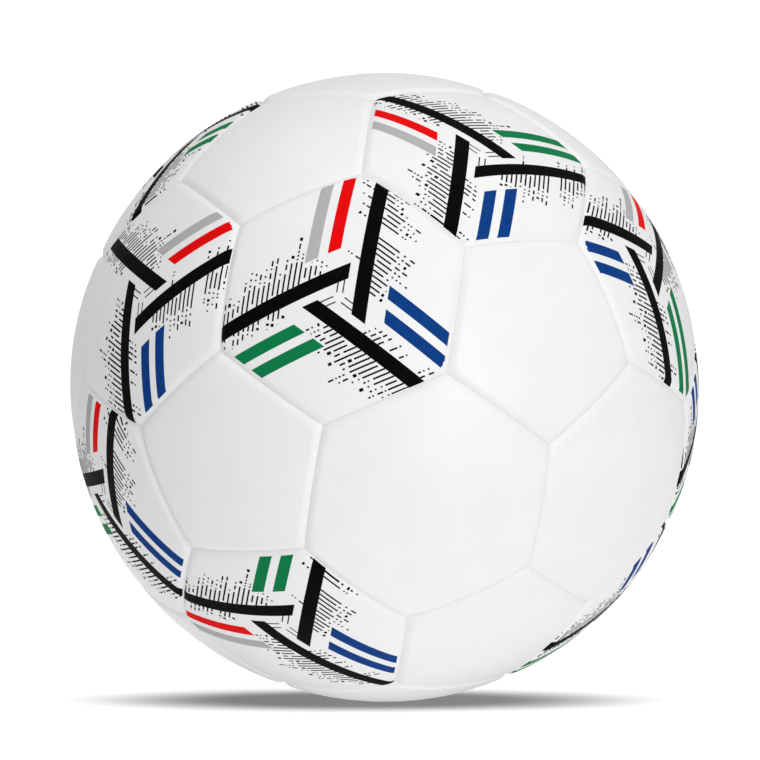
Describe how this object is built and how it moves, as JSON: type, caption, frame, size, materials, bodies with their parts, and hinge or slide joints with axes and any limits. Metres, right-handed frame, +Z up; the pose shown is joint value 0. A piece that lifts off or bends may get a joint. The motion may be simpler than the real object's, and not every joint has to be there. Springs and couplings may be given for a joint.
{
  "type": "soccer ball",
  "caption": "Stitched soccer ball with hexagon and pentagon panels over an inflated rubber bladder, with a needle valve whose core pulls out.",
  "frame": {"origin": "the ball's centre", "axes": "+Z is up as the ball lies, -Z points to the ground contact; +Y points away from the printed front and lies along a two-fold axis of the panel pattern; +X is to the right seen from the front"},
  "size_m": [0.22, 0.22, 0.22],
  "materials": {
    "panel_skin": "satin",
    "foam": "matte",
    "lining": "matte",
    "thread": "satin",
    "bladder_rubber": "satin",
    "valve_rubber": "satin",
    "ink_black": "satin",
    "ink_blue": "satin",
    "ink_green": "satin",
    "ink_red": "satin",
    "ink_grey": "satin"
  },
  "bodies": {
    "ball": {"hexagon_01": "panel_skin", "hexagon_02": "panel_skin", "hexagon_03": "panel_skin", "hexagon_04": "panel_skin", "hexagon_05": "panel_skin", "hexagon_06": "panel_skin", "hexagon_07": "panel_skin", "hexagon_08": "panel_skin", "hexagon_09": "panel_skin", "hexagon_10": "panel_skin", "hexagon_11": "panel_skin", "hexagon_12": "panel_skin", "hexagon_13": "panel_skin", "hexagon_14": "panel_skin", "hexagon_15": "panel_skin", "hexagon_16": "panel_skin", "hexagon_17": "panel_skin", "hexagon_18": "panel_skin", "hexagon_19": "panel_skin", "hexagon_20": "panel_skin", "pentagon_01": "panel_skin", "pentagon_02": "panel_skin", "pentagon_03": "panel_skin", "pentagon_04": "panel_skin", "pentagon_05": "panel_skin", "pentagon_06": "panel_skin", "pentagon_07": "panel_skin", "pentagon_08": "panel_skin", "pentagon_09": "panel_skin", "pentagon_10": "panel_skin", "pentagon_11": "panel_skin", "pentagon_12": "panel_skin", "hexagon_foam": "foam", "pentagon_foam": "foam", "hexagon_lining": "lining", "pentagon_lining": "lining", "hexagon_thread": "thread", "pentagon_thread": "thread", "bladder": "bladder_rubber", "valve_stem": "valve_rubber"},
    "core": {"valve_core": "valve_rubber"}
  },
  "joints": [
    {"name": "core_pull", "type": "slide", "parent": "ball", "child": "core", "axis": [-0.1393, 0.9342, 0.3285], "range_m": [0, 0.016]}
  ]
}
